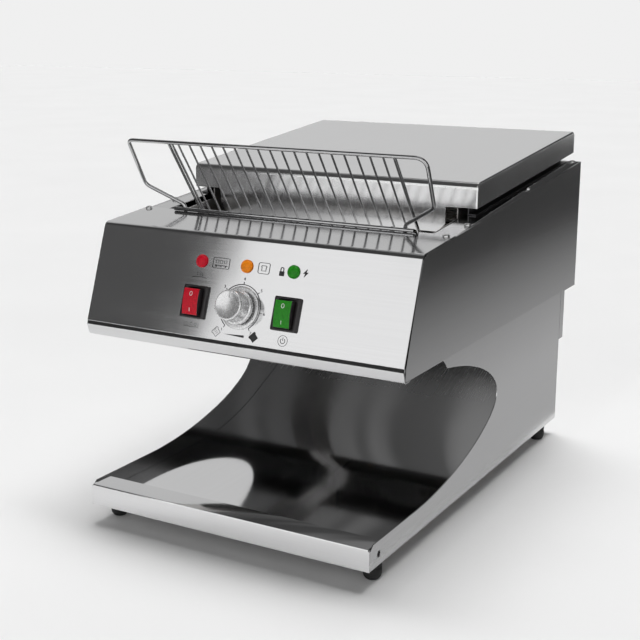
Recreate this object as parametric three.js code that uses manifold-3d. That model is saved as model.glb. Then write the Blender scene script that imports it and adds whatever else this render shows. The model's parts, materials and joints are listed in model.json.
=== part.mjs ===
// Countertop conveyor toaster: open tray base, sloped housing with a control panel,
// wire loading rack, driven belt between heaters, and a raised hood.
// Millimetres, +Z up, front towards -Y, +X to the right when facing the front.
// Inside this file y runs back from the tray's front face and z up from the tray lip's
// lower edge. The outer group moves that frame so the feet stand on z = 0.
import * as THREE from 'three';
import { mergeVertices } from 'three/addons/utils/BufferGeometryUtils.js';
import Module from 'manifold-3d';

const wasm = await Module();
wasm.setup();

// ---------------------------------------------------------------- driving dimensions
const housingWidth = 368;
const baseWidth = 330;
const totalDepth = 530;
const footHeight = 20;
const sheet = 1.2;
const gap = 0.3;

const topSlopeDegrees = 5.25;
const topSlope = Math.tan(THREE.MathUtils.degToRad(topSlopeDegrees));
const panelLean = THREE.MathUtils.degToRad(19.8);
const panelFoldY = 61.6;
const panelFoldZ = 287.3;
const panelLength = 104;
const foldRadius = 6.5;

const deckRearY = 131;
const deckTabY = 136;
const deckTabInnerX = 146;
const housingBottomZ = 178.3;
const housingRearY = 509;
const baseRearY = 515.7;
const lipHeight = 23;
const lipDepth = 26;
const trayFloorZ = 9;

const hoodHalfWidth = 174;
const hoodFrontY = 212;
const hoodRearY = 511;
const hoodFrontZ = 338;
const hoodSlope = Math.tan(THREE.MathUtils.degToRad(5.5));
const hoodSkirt = 26;
const hoodTongueHalfWidth = 139;
const hoodTongueZ = 285;

const chamberHalfWidth = 150;
const shaftRadius = 5;
const shaftEndX = 156;
const rollerRadius = 13.5;
const bearingBodyRadius = 7.2;
const beltThickness = 2;
const driveShaft = { y: 172, z: 236 };
const idlerShaft = { y: 452, z: 260.5 };
const motorShaft = { y: 98, z: 226 };
const chainX = 161.5;
const driveToothCount = 18;
const motorToothCount = 12;
const chainPitch = 6.35;

const glandRadius = 7;
const glandX = -110;
const glandZ = 60;

const housingHalf = housingWidth / 2;
const baseHalf = baseWidth / 2;
// How far a drill or cutter reaches past the sheet on each side.
const past = 5;

// ---------------------------------------------------------------- finishes
const finish = (color, roughness, metalness) =>
  new THREE.MeshStandardMaterial({ color, roughness, metalness });
const polishedSteel = finish(0xd4d5d6, 0.14, 1);
const brushedSteel = finish(0xc3c4c6, 0.3, 1);
const innerSteel = finish(0x8f9194, 0.45, 0.95);
const darkSteel = finish(0x35373a, 0.5, 0.8);
const blackRubber = finish(0x131313, 0.85, 0);
const blackPlastic = finish(0x16161a, 0.4, 0);
const redPlastic = finish(0xc0162c, 0.3, 0);
const greenPlastic = finish(0x2c8f1d, 0.3, 0);
const amberPlastic = finish(0xf08a1c, 0.3, 0);
const silverKnob = finish(0xc9c9cb, 0.35, 0.7);
const motorPaint = finish(0x4a4d52, 0.5, 0.4);
const brass = finish(0xb58a3c, 0.35, 1);
const ceramic = finish(0xe6e1d4, 0.6, 0);

// ---------------------------------------------------------------- geometry helpers
function toSolid(geometry) {
  const bare = geometry.clone();
  bare.deleteAttribute('normal');
  bare.deleteAttribute('uv');
  const merged = mergeVertices(bare, 1e-4);
  return new wasm.Manifold(new wasm.Mesh({
    numProp: 3,
    vertProperties: new Float32Array(merged.attributes.position.array),
    triVerts: new Uint32Array(merged.index.array),
  }));
}

function fromSolid(solid) {
  const result = solid.getMesh();
  const geometry = new THREE.BufferGeometry();
  geometry.setAttribute('position', new THREE.BufferAttribute(result.vertProperties, 3));
  geometry.setIndex(new THREE.BufferAttribute(result.triVerts, 1));
  geometry.computeVertexNormals();
  return geometry;
}

function join(...geometries) {
  return fromSolid(geometries.map(toSolid).reduce((whole, piece) => whole.add(piece)));
}

function cut(body, ...tools) {
  return fromSolid(tools.map(toSolid).reduce((rest, tool) => rest.subtract(tool), toSolid(body)));
}

function box(x0, x1, y0, y1, z0, z1) {
  const geometry = new THREE.BoxGeometry(x1 - x0, y1 - y0, z1 - z0);
  return geometry.translate((x0 + x1) / 2, (y0 + y1) / 2, (z0 + z1) / 2);
}

// The two numbers with the smaller one first, for a span that may be mirrored.
function ordered(a, b) {
  return [Math.min(a, b), Math.max(a, b)];
}

// A side view drawn in (y, z) and drawn out from x0 to x1.
function alongX(shape, x0, x1, curveSegments = 12) {
  const depth = x1 - x0;
  const geometry = new THREE.ExtrudeGeometry(shape, { depth, bevelEnabled: false, curveSegments });
  const yzPlane = new THREE.Matrix4().makeBasis(
    new THREE.Vector3(0, 1, 0), new THREE.Vector3(0, 0, 1), new THREE.Vector3(1, 0, 0));
  return geometry.applyMatrix4(yzPlane).translate(x0, 0, 0);
}

// A front view drawn in (x, z) and drawn out from y0 back to y1.
function alongY(shape, y0, y1, curveSegments = 12) {
  const depth = y1 - y0;
  const geometry = new THREE.ExtrudeGeometry(shape, { depth, bevelEnabled: false, curveSegments });
  return geometry.rotateX(Math.PI / 2).translate(0, y1, 0);
}

function polygon(points) {
  return new THREE.Shape(points.map(([a, b]) => new THREE.Vector2(a, b)));
}

function rodX(radius, x0, x1, y, z, sides = 20) {
  const geometry = new THREE.CylinderGeometry(radius, radius, x1 - x0, sides);
  return geometry.rotateZ(-Math.PI / 2).translate((x0 + x1) / 2, y, z);
}

function rodZ(radius, z0, z1, x, y, sideCount = 20) {
  const geometry = new THREE.CylinderGeometry(radius, radius, z1 - z0, sideCount);
  return geometry.rotateX(Math.PI / 2).translate(x, y, (z0 + z1) / 2);
}

// A lathe needs its profile anticlockwise in (radius, height) for its faces to point out.
function turned(profile, sides) {
  const points = profile.map(([radius, height]) => new THREE.Vector2(radius, height));
  if (THREE.ShapeUtils.area(points) < 0) points.reverse();
  return new THREE.LatheGeometry(points, sides);
}

// A turned piece on an axis along X: the profile lists [x, radius] and closes on itself.
function turnedX(profile, y, z, sides = 20) {
  const upright = profile.map(([x, radius]) => [radius, x]);
  return turned(upright, sides).rotateZ(-Math.PI / 2).translate(0, y, z);
}

// A turned piece on the Z axis of its own group: the profile lists [radius, height].
function turnedZ(profile, sides = 32) {
  return turned(profile, sides).rotateX(Math.PI / 2);
}

// The outline of a folded sheet whose outer face follows the points, thickness to the right.
function foldedSheet(points, thickness = sheet) {
  const outer = points.map(([a, b]) => new THREE.Vector2(a, b));
  const inner = outer.map((point, index) => {
    const before = outer[Math.max(index - 1, 0)];
    const after = outer[Math.min(index + 1, outer.length - 1)];
    const into = index === 0 ? after.clone().sub(point) : point.clone().sub(before);
    const away = index === outer.length - 1 ? into.clone() : after.clone().sub(point);
    const normalIn = new THREE.Vector2(into.y, -into.x).normalize();
    const normalAway = new THREE.Vector2(away.y, -away.x).normalize();
    const middle = normalIn.clone().add(normalAway).normalize();
    return point.clone().addScaledVector(middle, thickness / middle.dot(normalIn));
  });
  return new THREE.Shape([...outer, ...inner.reverse()]);
}

// Points on an arc from one angle to another, in degrees.
function arcPoints(centreA, centreB, radius, fromDegrees, toDegrees, steps) {
  return Array.from({ length: steps + 1 }, (_, index) => {
    const angle = THREE.MathUtils.degToRad(fromDegrees + (toDegrees - fromDegrees) * index / steps);
    return [centreA + radius * Math.cos(angle), centreB + radius * Math.sin(angle)];
  });
}

// A wire's centre line: straight runs joined by rounded bends.
class BentWire extends THREE.Curve {
  constructor(corners, bendRadius, bendSteps = 4) {
    super();
    const points = corners.map((corner) => new THREE.Vector3(...corner));
    this.stations = [points[0]];
    for (let index = 1; index < points.length - 1; index += 1) {
      const corner = points[index];
      const start = corner.clone().add(
        points[index - 1].clone().sub(corner).setLength(bendRadius));
      const end = corner.clone().add(
        points[index + 1].clone().sub(corner).setLength(bendRadius));
      const bend = new THREE.QuadraticBezierCurve3(start, corner, end);
      this.stations.push(...bend.getPoints(bendSteps));
    }
    this.stations.push(points[points.length - 1]);
  }

  get steps() {
    return this.stations.length - 1;
  }

  getPointAt(u) {
    return this.stations[Math.round(u * this.steps)].clone();
  }

  getTangentAt(u) {
    const index = Math.round(u * this.steps);
    const before = this.stations[Math.max(index - 1, 0)];
    const after = this.stations[Math.min(index + 1, this.steps)];
    return after.clone().sub(before).normalize();
  }
}

function wire(corners, radius, bendRadius = 1, sides = 8) {
  const path = new BentWire(corners, bendRadius);
  const section = new THREE.Shape();
  section.absarc(0, 0, radius, 0, 2 * Math.PI, false);
  return new THREE.ExtrudeGeometry(section, {
    steps: path.steps, extrudePath: path, curveSegments: sides, bevelEnabled: false,
  });
}

const toaster = new THREE.Group();
const body = new THREE.Group();
body.position.set(0, -totalDepth / 2, footHeight);
toaster.add(body);

function addPart(name, geometry, material, parent = body) {
  const mesh = new THREE.Mesh(geometry, material);
  mesh.name = name;
  parent.add(mesh);
  return mesh;
}

const sides = [['left', -1], ['right', 1]];

// The housing's top line, and the hood's top line above it. The deck rises over the fold.
const foldRise = 3.7;
const deckZ = (y) => panelFoldZ + foldRise + topSlope * (y - panelFoldY);
const hoodZ = (y) => hoodFrontZ + hoodSlope * (y - hoodFrontY);

// ---------------------------------------------------------------- base
// Each side plate is a C: a low wall beside the tray and an arm that carries the housing.
function baseSideShape() {
  const frontY = 1.8;
  const wallHeight = 25;
  const cornerCut = { y: 6.2, z: 5 };
  const armFrontY = 160;
  const armStepZ = 164;
  const mouthTop = { y: 169, z: 154.5 };
  const mouthBack = { y: 309, z: 91 };
  const mouthEndY = 100;
  const shape = new THREE.Shape();
  shape.moveTo(frontY, 0);
  shape.lineTo(baseRearY, 0);
  shape.lineTo(baseRearY, housingBottomZ - gap);
  shape.lineTo(armFrontY, housingBottomZ - gap);
  shape.lineTo(armFrontY, armStepZ);
  shape.lineTo(mouthTop.y, mouthTop.z);
  shape.bezierCurveTo(240, 144, mouthBack.y, 118, mouthBack.y, mouthBack.z);
  shape.bezierCurveTo(mouthBack.y, 60, 200, wallHeight, mouthEndY, wallHeight);
  shape.lineTo(frontY + cornerCut.y, wallHeight);
  shape.lineTo(frontY, wallHeight - cornerCut.z);
  return shape;
}

function addBase() {
  const rivet = { radius: 3.2, y: 19.8, z: 11.4 };
  for (const [side, sign] of sides) {
    const span = ordered(sign * baseHalf, sign * (baseHalf - sheet));
    const plate = alongX(baseSideShape(), ...span, 14);
    const rivetHole = rodX(rivet.radius, span[0] - 1, span[1] + 1, rivet.y, rivet.z);
    addPart(`base_side_${side}`, cut(plate, rivetHole), polishedSteel);
  }
  const insideHalf = baseHalf - sheet - gap;
  addPart('base_floor_plate',
    box(-insideHalf, insideHalf, lipDepth + 2, baseRearY - 2, 0, sheet), innerSteel);
  const rearPanel = box(
    -insideHalf, insideHalf, baseRearY - sheet, baseRearY, 0, housingBottomZ - gap);
  const holeRadius = glandRadius + gap;
  const glandHole = turned([[0, -past], [holeRadius, -past], [holeRadius, past], [0, past]], 20)
    .translate(glandX, baseRearY, glandZ);
  addPart('base_rear_panel', cut(rearPanel, glandHole), brushedSteel);
  const returnDepth = 12;
  const lipOutline = foldedSheet([
    [lipDepth, trayFloorZ + sheet], [lipDepth, lipHeight], [2, lipHeight], [0.6, lipHeight - 0.6],
    [0, lipHeight - 2], [0, 0], [returnDepth, 0]], -sheet);
  const lipFace = box(-baseHalf, baseHalf, 0, sheet, 0, lipHeight - 2);
  addPart('tray_front_lip', join(alongX(lipOutline, -insideHalf, insideHalf), lipFace), polishedSteel);
}

// The slide runs level from the lip, bends up to a ramp and turns upright at the back.
function addSlide() {
  const rampDegrees = 24;
  const firstRadius = 330;
  const rearRadius = 75;
  const firstStartY = 185;
  const arcSteps = 7;
  const firstArc = arcPoints(
    firstStartY, trayFloorZ + firstRadius, firstRadius, -90, rampDegrees - 90, arcSteps);
  const [rampY, rampZ] = firstArc[firstArc.length - 1];
  const rampEndY = 457;
  const rampEndZ = rampZ + (rampEndY - rampY) * Math.tan(THREE.MathUtils.degToRad(rampDegrees));
  const rampAngle = THREE.MathUtils.degToRad(rampDegrees);
  const rearCentreY = rampEndY - rearRadius * Math.sin(rampAngle);
  const rearCentreZ = rampEndZ + rearRadius * Math.cos(rampAngle);
  const rearArc = arcPoints(rearCentreY, rearCentreZ, rearRadius, rampDegrees - 90, -2, arcSteps);
  const outline = foldedSheet([
    [lipDepth + sheet + gap, trayFloorZ], ...firstArc, ...rearArc,
    [rearArc[arcSteps][0] + gap, housingBottomZ - 1]]);
  const slideHalf = baseHalf - sheet - gap;
  addPart('toast_slide', alongX(outline, -slideHalf, slideHalf), polishedSteel);
}

function addFeet() {
  const footRadius = 9.5;
  const footX = 153;
  const profile = [[0, -footHeight], [5.5, -footHeight], [8.4, -footHeight + 2.2],
    [footRadius, -footHeight + 6], [footRadius, -gap], [0, -gap]];
  for (const [place, y] of [['front', 30], ['rear', 482]]) {
    for (const [side, sign] of sides) {
      const foot = addPart(`foot_${place}_${side}`, turnedZ(profile, 20), blackRubber);
      foot.position.set(sign * footX, y, 0);
    }
  }
}

// ---------------------------------------------------------------- housing shell
const panelDown = { y: -Math.sin(panelLean), z: -Math.cos(panelLean) };
const panelBottomY = panelFoldY + panelDown.y * panelLength;
const panelBottomZ = panelFoldZ + panelDown.z * panelLength;
const panelOut = { y: -Math.cos(panelLean), z: Math.sin(panelLean) };

// A group whose X runs along the panel, Y up its slope and Z straight out of it.
const panelFrame = new THREE.Group();
panelFrame.position.set(0, panelFoldY, panelFoldZ);
panelFrame.rotation.x = Math.PI / 2 - panelLean;
body.add(panelFrame);

const lampX = [-53.3, 0, 53.3];
const lampDown = 25;
const switchX = 53.3;
const controlsDown = 66.3;
const switchHole = { halfWidth: 12.5, halfHeight: 14.8 };
const lampHoleRadius = 5.3;
const lampRadius = 6.6;
const spindleHoleRadius = 4;
const rockerTilt = THREE.MathUtils.degToRad(6);

function onPanel(geometry) {
  panelFrame.updateMatrix();
  return geometry.clone().applyMatrix4(panelFrame.matrix);
}

function addControlPanel() {
  const cornerDegrees = 90 + topSlopeDegrees;
  const faceDegrees = 180 - THREE.MathUtils.radToDeg(panelLean);
  const centreY = panelFoldY + 0.4 + foldRadius * Math.cos(panelLean);
  const centreZ = deckZ(centreY) - foldRadius;
  const fold = arcPoints(centreY, centreZ, foldRadius, cornerDegrees, faceDegrees, 6);
  const outline = foldedSheet([
    [deckTabY, deckZ(deckTabY)], ...fold,
    [panelBottomY, panelBottomZ], [panelBottomY + 3.2, housingBottomZ + 0.8],
    [panelBottomY + 5, housingBottomZ - 1], [panelBottomY + 14, housingBottomZ - 1]], -sheet);
  const blank = alongX(outline, -housingHalf, housingHalf);
  const slotFront = box(-deckTabInnerX, deckTabInnerX, deckRearY, deckTabY + past,
    deckZ(deckRearY) - past, deckZ(deckRearY) + past);
  const drills = [slotFront];
  for (const x of lampX) {
    drills.push(onPanel(rodZ(lampHoleRadius, -past, past, x, -lampDown)));
  }
  drills.push(onPanel(rodZ(spindleHoleRadius, -past, past, 0, -controlsDown)));
  const holeHalfX = switchHole.halfWidth + gap;
  const holeHalfY = switchHole.halfHeight + gap;
  for (const x of [-switchX, switchX]) {
    drills.push(onPanel(box(x - holeHalfX, x + holeHalfX,
      -controlsDown - holeHalfY, -controlsDown + holeHalfY, -past, past)));
  }
  addPart('control_panel', cut(blank, ...drills), polishedSteel);
}

// The outer side plates follow the panel's slope and carry a flange along the top.
function addHousingSides() {
  const clear = sheet + gap;
  const topFrontY = panelFoldY + foldRadius + 3;
  const frontTop = [topFrontY, deckZ(topFrontY) - clear];
  const outline = polygon([
    [panelFoldY - panelOut.y * clear + 0.6, panelFoldZ - 1.5], frontTop,
    [housingRearY, deckZ(housingRearY) - clear],
    [housingRearY, housingBottomZ], [panelBottomY + 6.5, housingBottomZ + 0.6],
    [panelBottomY + 4.4, housingBottomZ + 2.5],
    [panelBottomY - panelOut.y * clear + 0.4, panelBottomZ]]);
  const flangeWidth = 25;
  const flangeFrontY = topFrontY + 2;
  const flangeRearY = housingRearY - clear;
  const flange = foldedSheet([[flangeFrontY, deckZ(flangeFrontY) - clear],
    [flangeRearY, deckZ(flangeRearY) - clear]]);
  for (const [side, sign] of sides) {
    const plate = alongX(outline, ...ordered(sign * housingHalf, sign * (housingHalf - sheet)));
    const span = ordered(sign * (housingHalf - 0.4), sign * (housingHalf - flangeWidth));
    const top = alongX(flange, ...span);
    addPart(`housing_side_${side}`, join(plate, top), polishedSteel);
  }
}

function addHousingFloor() {
  const half = housingHalf - sheet - gap;
  const plate = box(-half, half, panelBottomY + 14.5, housingRearY - sheet - gap,
    housingBottomZ, housingBottomZ + sheet);
  const openingHalf = chamberHalfWidth - 2;
  const openingY = { front: 440, rear: 504 };
  const dischargeOpening = box(-openingHalf, openingHalf, openingY.front, openingY.rear,
    housingBottomZ - 1, housingBottomZ + sheet + 1);
  addPart('housing_floor', cut(plate, dischargeOpening), innerSteel);
}

// The upright rear panel, with a slot row that lets the heat out.
function addHousingRear() {
  const half = housingHalf - sheet - gap;
  const plate = box(-half, half, housingRearY - sheet, housingRearY,
    housingBottomZ, deckZ(housingRearY) - sheet - gap);
  const slotHalf = 16;
  const slots = [-100, -50, 0, 50, 100].map((x) =>
    box(x - slotHalf, x + slotHalf, housingRearY - past, housingRearY + past, 230, 234));
  addPart('housing_rear_panel', cut(plate, ...slots), brushedSteel);
}

// A shallow pan closes the wiring space behind the housing and the base.
function addRearCover() {
  const bottom = 104;
  const top = 300;
  const rear = totalDepth;
  const step = housingBottomZ;
  const frontHigh = housingRearY + gap;
  const frontLow = baseRearY + gap;
  const half = baseHalf;
  const outer = alongX(polygon([[rear, bottom], [rear, top], [frontHigh, top],
    [frontHigh, step], [frontLow, step], [frontLow, bottom]]), -half, half);
  const hollow = box(-half + sheet, half - sheet, frontHigh - 20, rear - sheet,
    bottom + sheet, top - sheet);
  const louvreHalf = { x: 24, z: 1.8 };
  const louvres = [];
  for (const z of [210, 224, 238, 252]) {
    for (const x of [-96, -32, 32, 96]) {
      louvres.push(box(x - louvreHalf.x, x + louvreHalf.x, rear - past, rear + past,
        z - louvreHalf.z, z + louvreHalf.z));
    }
  }
  addPart('rear_cover', cut(outer, hollow, ...louvres), brushedSteel);
}

// ---------------------------------------------------------------- hood
// A folded lid with short skirts; its front carries a tongue down into the feed slot.
function addHood() {
  const lower = (y) => hoodZ(y) - hoodSkirt;
  const outer = alongX(polygon([
    [hoodFrontY, lower(hoodFrontY)], [hoodRearY, lower(hoodRearY)], [hoodRearY, hoodZ(hoodRearY) - 2],
    [hoodRearY - 2, hoodZ(hoodRearY - 2)], [hoodFrontY + 3, hoodZ(hoodFrontY + 3)],
    [hoodFrontY + 0.9, hoodZ(hoodFrontY + 3) - 0.9], [hoodFrontY, hoodZ(hoodFrontY) - 3]]),
  -hoodHalfWidth, hoodHalfWidth);
  const innerFront = hoodFrontY + sheet;
  const innerRear = hoodRearY - sheet;
  const hollow = alongX(polygon([
    [innerFront, lower(innerFront) - 9], [innerRear, lower(innerRear) - 9],
    [innerRear, hoodZ(innerRear) - sheet], [innerFront, hoodZ(innerFront) - sheet]]),
  -hoodHalfWidth + sheet, hoodHalfWidth - sheet);
  const shellOnly = cut(outer, hollow);
  const tongueTop = lower(hoodFrontY) + 4;
  const chamfer = 9;
  const tongue = alongY(polygon([
    [-hoodTongueHalfWidth, tongueTop], [-hoodTongueHalfWidth, hoodTongueZ + chamfer],
    [-hoodTongueHalfWidth + chamfer, hoodTongueZ], [hoodTongueHalfWidth - chamfer, hoodTongueZ],
    [hoodTongueHalfWidth, hoodTongueZ + chamfer], [hoodTongueHalfWidth, tongueTop]]),
  hoodFrontY, hoodFrontY + sheet);
  addPart('hood', join(shellOnly, tongue), brushedSteel);
}

// Angles that stand on the housing flange and hold the hood clear of it.
function addHoodBrackets() {
  const wallX = 161;
  const treadWidth = 9;
  const frontY = hoodFrontY + 6;
  const rearY = hoodRearY - 13;
  const footTop = (y) => deckZ(y) - sheet;
  for (const [side, sign] of sides) {
    const upright = alongX(polygon([
      [frontY, footTop(frontY)], [rearY, footTop(rearY)],
      [rearY, hoodZ(rearY) - sheet - gap], [frontY, hoodZ(frontY) - sheet - gap]]),
    ...ordered(sign * wallX, sign * (wallX + sheet)));
    const tread = alongX(
      foldedSheet([[frontY, footTop(frontY) + sheet], [rearY, footTop(rearY) + sheet]]),
      ...ordered(sign * wallX, sign * (wallX + treadWidth)));
    addPart(`hood_bracket_${side}`, join(upright, tread), darkSteel);
  }
}

// ---------------------------------------------------------------- heating chamber
function addChamber() {
  const bottom = housingBottomZ + sheet + gap;
  const frontY = 138.5;
  const rearY = 502;
  const step = { y: hoodFrontY + 4, z: 300 };
  const underHood = 12;
  for (const [side, sign] of sides) {
    const plate = alongX(polygon([
      [frontY, bottom], [rearY, bottom], [rearY, hoodZ(rearY) - underHood],
      [step.y, hoodZ(step.y) - underHood], [step.y, step.z], [frontY, deckZ(frontY) - 6]]),
    ...ordered(sign * chamberHalfWidth, sign * (chamberHalfWidth + sheet)));
    const drillSpan = ordered(sign * (chamberHalfWidth - past), sign * (chamberHalfWidth + past));
    const holes = [driveShaft, idlerShaft].map(({ y, z }) =>
      rodX(bearingBodyRadius + gap, ...drillSpan, y, z));
    addPart(`chamber_wall_${side}`, cut(plate, ...holes), innerSteel);
  }
  const inside = chamberHalfWidth - gap;
  addPart('front_bulkhead',
    box(-chamberHalfWidth - sheet, chamberHalfWidth + sheet, frontY - gap - sheet, frontY - gap,
      bottom, deckZ(deckRearY) - 8), innerSteel);
  const upperLine = [222, 490].map((y) => [y, hoodZ(y) - 16]);
  addPart('upper_reflector', alongX(foldedSheet(upperLine), -inside, inside), polishedSteel);
  const lowerLine = [[142, 220], [146, 208], [430, 233]];
  addPart('lower_reflector', alongX(foldedSheet(lowerLine), -inside, inside), polishedSteel);
}

// Sheathed heating rods with ceramic ends, three above the belt and three inside its loop.
function addHeaters() {
  const beltLine = (y) => driveShaft.z
    + (idlerShaft.z - driveShaft.z) * (y - driveShaft.y) / (idlerShaft.y - driveShaft.y);
  const end = chamberHalfWidth - gap;
  const rodRadius = 4;
  const capRadius = 6;
  const capInner = end - 9;
  const rod = [[-end, 0], [-end, capRadius], [-capInner, capRadius], [-capInner, rodRadius],
    [capInner, rodRadius], [capInner, capRadius], [end, capRadius], [end, 0]];
  const underHood = 30;
  for (let index = 0; index < 3; index += 1) {
    const upperY = 262 + index * 78;
    const lowerY = 232 + index * 80;
    const upperZ = hoodZ(upperY) - underHood;
    addPart(`upper_heater_${index + 1}`, turnedX(rod, upperY, upperZ, 12), ceramic);
    addPart(`lower_heater_${index + 1}`, turnedX(rod, lowerY, beltLine(lowerY), 12), ceramic);
  }
}

// ---------------------------------------------------------------- conveyor
// A shaft with three toothed rollers; it reaches through the wall bearings.
function addShaft(name, place, rightEnd) {
  const rollerHalf = 9;
  const profile = [[-shaftEndX, 0], [-shaftEndX, shaftRadius]];
  for (const centre of [-120, 0, 120]) {
    profile.push([centre - rollerHalf, shaftRadius], [centre - rollerHalf, rollerRadius],
      [centre + rollerHalf, rollerRadius], [centre + rollerHalf, shaftRadius]);
  }
  profile.push([rightEnd, shaftRadius], [rightEnd, 0]);
  addPart(name, turnedX(profile, place.y, place.z, 20), innerSteel);
}

// A band over two round wheels, as a ring outline with the given inner radii.
function bandShape(first, firstRadius, second, secondRadius, thickness) {
  const run = new THREE.Vector2(second.y - first.y, second.z - first.z);
  const tilt = Math.atan2(run.y, run.x);
  const spread = Math.acos((firstRadius - secondRadius) / run.length());
  const outline = (extra, steps) => {
    const around = (centre, radius, from, to) => arcPoints(centre.y, centre.z, radius + extra,
      THREE.MathUtils.radToDeg(from), THREE.MathUtils.radToDeg(to), steps);
    return [
      ...around(first, firstRadius, tilt + spread, tilt + 2 * Math.PI - spread),
      ...around(second, secondRadius, tilt - spread, tilt + spread)];
  };
  const shape = polygon(outline(thickness, 12));
  shape.holes.push(polygon(outline(0, 12)));
  return shape;
}

function addBelt() {
  const inner = rollerRadius + gap;
  const beltHalf = chamberHalfWidth - 12;
  const band = bandShape(driveShaft, inner, idlerShaft, inner, beltThickness);
  addPart('conveyor_belt', alongX(band, -beltHalf, beltHalf), innerSteel);
}

function addBearings() {
  const wall = chamberHalfWidth;
  for (const [side, sign] of sides) {
    for (const [place, shaft] of [['drive', driveShaft], ['idler', idlerShaft]]) {
      const bore = shaftRadius + gap;
      const bush = [[wall - 3, bore], [wall - 3, 10], [wall - gap, 10],
        [wall - gap, bearingBodyRadius], [wall + 3, bearingBodyRadius], [wall + 3, bore],
        [wall - 3, bore]];
      const profile = bush.map(([x, radius]) => [sign * x, radius]);
      addPart(`${place}_bearing_${side}`, turnedX(profile, shaft.y, shaft.z, 20), brass);
    }
  }
}

const pitchRadiusOf = (toothCount) => chainPitch / (2 * Math.sin(Math.PI / toothCount));

// A chain wheel outline with cut-off teeth and a bore.
function sprocketShape(toothCount, bore) {
  const points = [];
  for (let tooth = 0; tooth < toothCount; tooth += 1) {
    for (const [share, height] of [[-0.34, -1.9], [-0.12, 1.1], [0.12, 1.1], [0.34, -1.9]]) {
      const angle = 2 * Math.PI * (tooth + share) / toothCount;
      const radius = pitchRadiusOf(toothCount) + height;
      points.push([radius * Math.cos(angle), radius * Math.sin(angle)]);
    }
  }
  const shape = polygon(points);
  const hole = new THREE.Path();
  hole.absarc(0, 0, bore, 0, 2 * Math.PI, true);
  shape.holes.push(hole);
  return shape;
}

function addDrive() {
  const wheelHalf = 1.5;
  const driveWheel = alongX(sprocketShape(driveToothCount, shaftRadius + gap),
    chainX - wheelHalf, chainX + wheelHalf, 10).translate(0, driveShaft.y, driveShaft.z);
  addPart('drive_sprocket', driveWheel, darkSteel);
  const motorBore = 4;
  const motorWheel = alongX(sprocketShape(motorToothCount, motorBore + gap),
    chainX - wheelHalf, chainX + wheelHalf, 10).translate(0, motorShaft.y, motorShaft.z);
  addPart('motor_sprocket', motorWheel, darkSteel);
  const caseRightX = 128;
  addPart('motor_output_shaft',
    rodX(motorBore, caseRightX + gap, chainX + 5, motorShaft.y, motorShaft.z, 16), innerSteel);
  const chainClear = 1.4;
  const chainHalf = 2.4;
  const chainLoop = bandShape(motorShaft, pitchRadiusOf(motorToothCount) + chainClear,
    driveShaft, pitchRadiusOf(driveToothCount) + chainClear, chainHalf);
  addPart('drive_chain', alongX(chainLoop, chainX - chainHalf, chainX + chainHalf), darkSteel);
  const floorTop = housingBottomZ + sheet + gap;
  const motorRightX = 102;
  const front = motorShaft.y - 26;
  const rear = motorShaft.y + 26;
  const gearCase = box(motorRightX + gap, caseRightX, front, rear, floorTop, motorShaft.z + 18);
  const foot = box(92, 138, front, rear, floorTop, floorTop + 4);
  addPart('gearbox', join(gearCase, foot), motorPaint);
  addPart('motor', rodX(21, 44, motorRightX, motorShaft.y, motorShaft.z - 4, 28), motorPaint);
}

// ---------------------------------------------------------------- controls
function addSwitch(name, x, capMaterial) {
  const group = new THREE.Group();
  group.position.set(x, -controlsDown, 0);
  panelFrame.add(group);
  const frameHalf = { x: 14.5, y: 16.6 };
  const wellHalf = { x: 9.6, y: 14.2 };
  const flange = box(-frameHalf.x, frameHalf.x, -frameHalf.y, frameHalf.y, gap, 2.8);
  const housing = box(-switchHole.halfWidth, switchHole.halfWidth,
    -switchHole.halfHeight, switchHole.halfHeight, -22, 1);
  const well = box(-wellHalf.x, wellHalf.x, -wellHalf.y, wellHalf.y, -14, 6);
  addPart(`${name}_switch_housing`, cut(join(flange, housing), well), blackPlastic, group);
  const cap = polygon([[-12.6, -5], [12.6, -5], [13.2, 7.8], [0, 9.2], [-13.2, 7.8]]);
  const rocker = addPart(`${name}_rocker`, alongX(cap, -9.2, 9.2), capMaterial, group);
  rocker.rotation.x = rockerTilt;
}

function addControls() {
  addSwitch('red', -switchX, redPlastic);
  addSwitch('green', switchX, greenPlastic);
  const lampNames = ['red', 'amber', 'green'];
  const lampMaterials = [redPlastic, amberPlastic, greenPlastic];
  lampNames.forEach((name, index) => {
    const profile = [[0, -14], [5, -14], [5, gap], [lampRadius, gap], [lampRadius, 1.4],
      [5.2, 2.6], [2.8, 3.2], [0, 3.4]];
    const lamp = addPart(`${name}_lamp`, turnedZ(profile, 20), lampMaterials[index], panelFrame);
    lamp.position.set(lampX[index], -lampDown, 0);
  });

  const dial = new THREE.Group();
  dial.position.set(0, -controlsDown, 0);
  panelFrame.add(dial);
  const plate = { inner: 4, outer: 21.5, top: 0.9 };
  addPart('speed_dial_plate', turnedZ([[plate.inner, gap], [plate.outer, gap],
    [plate.outer, plate.top], [plate.inner, plate.top], [plate.inner, gap]], 32), silverKnob, dial);
  const knobProfile = [[0, 1.4], [17, 1.4], [17.2, 5.6], [16.4, 7.2], [15.2, 7.6], [14.9, 21.4],
    [13.9, 22.8], [0, 23.2]];
  const pointer = box(-0.8, 0.8, 6, 14.3, 22, 23.7);
  addPart('speed_knob', join(turnedZ(knobProfile, 32), pointer), silverKnob, dial);
  const spindle = rodZ(3, -6, 1.1, 0, 0, 12);
  const can = rodZ(8.5, -18, -4, 0, 0, 20);
  const board = box(-20, 20, -16, 16, -19.6, -17.9);
  addPart('speed_controller', join(spindle, can, board), darkSteel, dial);
}

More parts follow.
